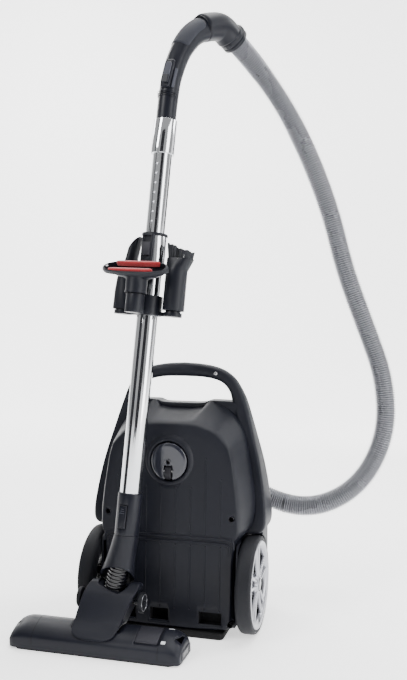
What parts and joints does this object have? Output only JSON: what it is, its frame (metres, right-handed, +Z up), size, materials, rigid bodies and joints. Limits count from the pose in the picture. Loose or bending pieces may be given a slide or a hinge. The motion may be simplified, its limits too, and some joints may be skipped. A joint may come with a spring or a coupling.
{
  "type": "canister vacuum cleaner",
  "caption": "Canister vacuum cleaner parked upright on its rear end, with wheels, castor, ribbed hose, bent handle, telescopic wand, clip-on tools and floor head.",
  "frame": {"origin": "on the floor under the canister's centre plane, in the plane of the castor's face; it lies on the underside of the stand foot", "axes": "+Z up in the parked pose, +X to the right of someone who looks at the underside, +Y from the underside to the side with the lid"},
  "size_m": [0.5936, 0.4081, 1.0619],
  "materials": {
    "shell_plastic": "fine-textured dark charcoal moulding",
    "foot_rubber": "matt black",
    "gloss_dark": "polished near-black",
    "screw_steel": "zinc plated",
    "lid_plastic": "satin charcoal",
    "control_grey": "light grey soft-touch",
    "vent_plastic": "satin charcoal",
    "motor_plastic": "plain grey moulding",
    "rotor_aluminium": "pressed sheet",
    "reel_plastic": "plain dark moulding",
    "bag_fabric": "non-woven fleece",
    "filter_fabric": "pleated non-woven",
    "duct_plastic": "plain dark moulding",
    "tyre_rubber": "matt black",
    "hub_silver": "silver painted",
    "axle_steel": "turned",
    "castor_gloss": "polished black",
    "roller_rubber": "matt",
    "wand_chrome": "polished plating",
    "wand_plastic": "satin charcoal",
    "tool_plastic": "satin charcoal",
    "lint_red": "short red pile",
    "bristle_dark": "dark soft bristle",
    "handle_plastic": "satin charcoal",
    "grip_grey": "soft dimpled grip",
    "hose_silver": "silver grey corrugated hose",
    "head_plastic": "satin charcoal",
    "sole_plastic": "black",
    "bellows_rubber": "black corrugated",
    "pedal_grey": "satin grey",
    "brush_dark": "stiff black bristle"
  },
  "bodies": {
    "canister": {"base_shell": "shell_plastic", "stand_foot": "foot_rubber", "side_frame": "shell_plastic", "case_screws": "screw_steel", "upper_housing": "shell_plastic", "cord_outlet": "gloss_dark", "motor_housing": "motor_plastic", "dust_bag": "bag_fabric", "intake_duct": "duct_plastic", "motor_filter": "filter_fabric", "exhaust_filter": "filter_fabric", "wheel_axles": "axle_steel", "hose_inlet": "gloss_dark", "hose_elbow": "shell_plastic", "hose_tail": "hose_silver"},
    "lid": {"lid": "lid_plastic"},
    "lid_latch": {"lid_latch": "control_grey"},
    "power_button": {"power_button": "control_grey"},
    "rewind_button": {"rewind_button": "control_grey"},
    "suction_knob": {"suction_knob": "control_grey"},
    "exhaust_cover": {"exhaust_cover": "vent_plastic"},
    "fan_rotor": {"fan_rotor": "rotor_aluminium"},
    "cord_reel": {"cord_reel": "reel_plastic"},
    "wheel_left": {"tyre_left": "tyre_rubber", "hubcap_left": "hub_silver"},
    "wheel_right": {"tyre_right": "tyre_rubber", "hubcap_right": "hub_silver"},
    "castor": {"castor_turret": "castor_gloss"},
    "castor_roller": {"castor_roller": "roller_rubber"},
    "release_left": {"release_button_left": "control_grey"},
    "release_right": {"release_button_right": "control_grey"},
    "hose_end_cuff": {"hose_end_cuff": "shell_plastic"},
    "wand_lower": {"lower_tube": "wand_chrome", "telescope_collar": "wand_plastic", "slider_housing": "wand_plastic", "wand_socket": "wand_plastic", "elbow_shell": "wand_plastic", "parking_hook": "wand_plastic", "accessory_holder": "tool_plastic"},
    "telescope_slider": {"telescope_slider": "control_grey"},
    "socket_latch": {"socket_latch": "control_grey"},
    "crevice_tool": {"crevice_tool": "tool_plastic"},
    "upholstery": {"upholstery_tool": "tool_plastic", "lint_strips": "lint_red"},
    "dusting": {"dusting_brush": "tool_plastic", "brush_bristles": "bristle_dark"},
    "upper_wand": {"upper_tube": "wand_chrome", "handle_tube": "handle_plastic", "grip_pad": "grip_grey", "hose": "hose_silver"},
    "handle_latch": {"handle_latch": "control_grey"},
    "air_slider": {"air_slider": "control_grey"},
    "swivel_cuff": {"swivel_cuff": "handle_plastic"},
    "neck": {"nozzle_neck": "head_plastic", "neck_bellows": "bellows_rubber"},
    "neck_wheels": {"neck_wheels": "hub_silver"},
    "head": {"nozzle_cover": "head_plastic", "nozzle_base": "sole_plastic"},
    "pedal": {"nozzle_pedal": "pedal_grey"},
    "brush_strips": {"brush_strips": "brush_dark"}
  },
  "joints": [
    {"name": "wheel_left_spin", "type": "hinge", "parent": "canister", "child": "wheel_left", "pos_m": [-0.136, 0.034, 0.0825], "axis": [1, 0, 0], "continuous": true},
    {"name": "wheel_right_spin", "type": "hinge", "parent": "canister", "child": "wheel_right", "pos_m": [0.136, 0.034, 0.0825], "axis": [1, 0, 0], "continuous": true},
    {"name": "castor_swivel", "type": "hinge", "parent": "canister", "child": "castor", "pos_m": [0, 0, 0.291], "axis": [0, 1, 0], "continuous": true},
    {"name": "castor_roll", "type": "hinge", "parent": "castor", "child": "castor_roller", "pos_m": [0, 0.001, 0.272], "axis": [1, 0, 0], "continuous": true},
    {"name": "lid_hinge", "type": "hinge", "parent": "canister", "child": "lid", "pos_m": [0, 0.1955, 0.062], "axis": [-1, 0, 0], "range_deg": [0, 75]},
    {"name": "lid_latch_press", "type": "slide", "parent": "canister", "child": "lid_latch", "axis": [0, -1, 0], "range_m": [0, 0.003], "stiffness_N_per_m": 600},
    {"name": "power_press", "type": "slide", "parent": "canister", "child": "power_button", "axis": [0, -1, 0], "range_m": [0, 0.004], "stiffness_N_per_m": 800},
    {"name": "rewind_press", "type": "slide", "parent": "canister", "child": "rewind_button", "axis": [0, -1, 0], "range_m": [0, 0.004], "stiffness_N_per_m": 800},
    {"name": "suction_turn", "type": "hinge", "parent": "canister", "child": "suction_knob", "pos_m": [0, 0.196, 0.189], "axis": [0, 1, 0], "range_deg": [-120, 120]},
    {"name": "exhaust_cover_pull", "type": "slide", "parent": "canister", "child": "exhaust_cover", "axis": [0, 1, 0], "range_m": [0, 0.03]},
    {"name": "fan_spin", "type": "hinge", "parent": "canister", "child": "fan_rotor", "pos_m": [0.052, 0.056, 0.076], "axis": [0, 0, 1], "continuous": true},
    {"name": "reel_spin", "type": "hinge", "parent": "canister", "child": "cord_reel", "pos_m": [-0.054, 0.045, 0.082], "axis": [0, 1, 0], "continuous": true},
    {"name": "release_left_press", "type": "slide", "parent": "canister", "child": "release_left", "axis": [1, 0, 0], "range_m": [0, 0.0015], "stiffness_N_per_m": 1000},
    {"name": "release_right_press", "type": "slide", "parent": "canister", "child": "release_right", "axis": [-1, 0, 0], "range_m": [0, 0.0015], "stiffness_N_per_m": 1000},
    {"name": "hose_end_cuff_turn", "type": "hinge", "parent": "canister", "child": "hose_end_cuff", "pos_m": [0.06148, 0.236, 0.22133], "axis": [0.809, 0, -0.5878], "continuous": true},
    {"name": "park_lift", "type": "slide", "parent": "canister", "child": "wand_lower", "axis": [0, -0.5, 0.866], "range_m": [0, 0.1], "deforming": ["hose_tail"]},
    {"name": "telescope", "type": "slide", "parent": "wand_lower", "child": "upper_wand", "axis": [0.0656, 0.1049, 0.9923], "range_m": [-0.12, 0.26], "deforming": ["hose"]},
    {"name": "telescope_release", "type": "slide", "parent": "wand_lower", "child": "telescope_slider", "axis": [0.0656, 0.1049, 0.9923], "range_m": [0, 0.006], "stiffness_N_per_m": 500},
    {"name": "socket_latch_press", "type": "slide", "parent": "wand_lower", "child": "socket_latch", "axis": [0.1499, 0.9821, -0.1137], "range_m": [0, 0.002], "stiffness_N_per_m": 800},
    {"name": "crevice_pull", "type": "slide", "parent": "wand_lower", "child": "crevice_tool", "axis": [0.0656, 0.1049, 0.9923], "range_m": [0, 0.06]},
    {"name": "upholstery_pull", "type": "slide", "parent": "wand_lower", "child": "upholstery", "axis": [0.0656, 0.1049, 0.9923], "range_m": [0, 0.06]},
    {"name": "dusting_pull", "type": "slide", "parent": "wand_lower", "child": "dusting", "axis": [0.0656, 0.1049, 0.9923], "range_m": [0, 0.06]},
    {"name": "handle_latch_press", "type": "slide", "parent": "upper_wand", "child": "handle_latch", "axis": [0.0884, 0.9643, -0.2495], "range_m": [0, 0.002], "stiffness_N_per_m": 800},
    {"name": "air_slide", "type": "slide", "parent": "upper_wand", "child": "air_slider", "axis": [0.1471, 0.2351, 0.9608], "range_m": [0, 0.01]},
    {"name": "swivel_cuff_turn", "type": "hinge", "parent": "upper_wand", "child": "swivel_cuff", "pos_m": [0.07062, 0.13148, 1.033], "axis": [0.4617, 0.7377, -0.4925], "continuous": true},
    {"name": "neck_swivel", "type": "hinge", "parent": "wand_lower", "child": "neck", "pos_m": [-0.072, -0.062, 0.1], "axis": [-0.2391, 0.0327, -0.9705], "range_deg": [-6, 6]},
    {"name": "neck_wheel_roll", "type": "hinge", "parent": "neck", "child": "neck_wheels", "pos_m": [-0.076, -0.072, 0.072], "axis": [1, 0, 0], "continuous": true},
    {"name": "head_tilt", "type": "hinge", "parent": "neck", "child": "head", "pos_m": [-0.086, -0.1, 0.022], "axis": [1, 0, 0], "range_deg": [0, 45]},
    {"name": "pedal_press", "type": "slide", "parent": "head", "child": "pedal", "axis": [0, 0, -1], "range_m": [0, 0.004]},
    {"name": "brush_drop", "type": "slide", "parent": "head", "child": "brush_strips", "axis": [0, 0, -1], "range_m": [0, 0.003]}
  ],
  "couplings": [
    {"joint": "brush_drop", "follows": "pedal_press", "ratio": 0.75}
  ]
}
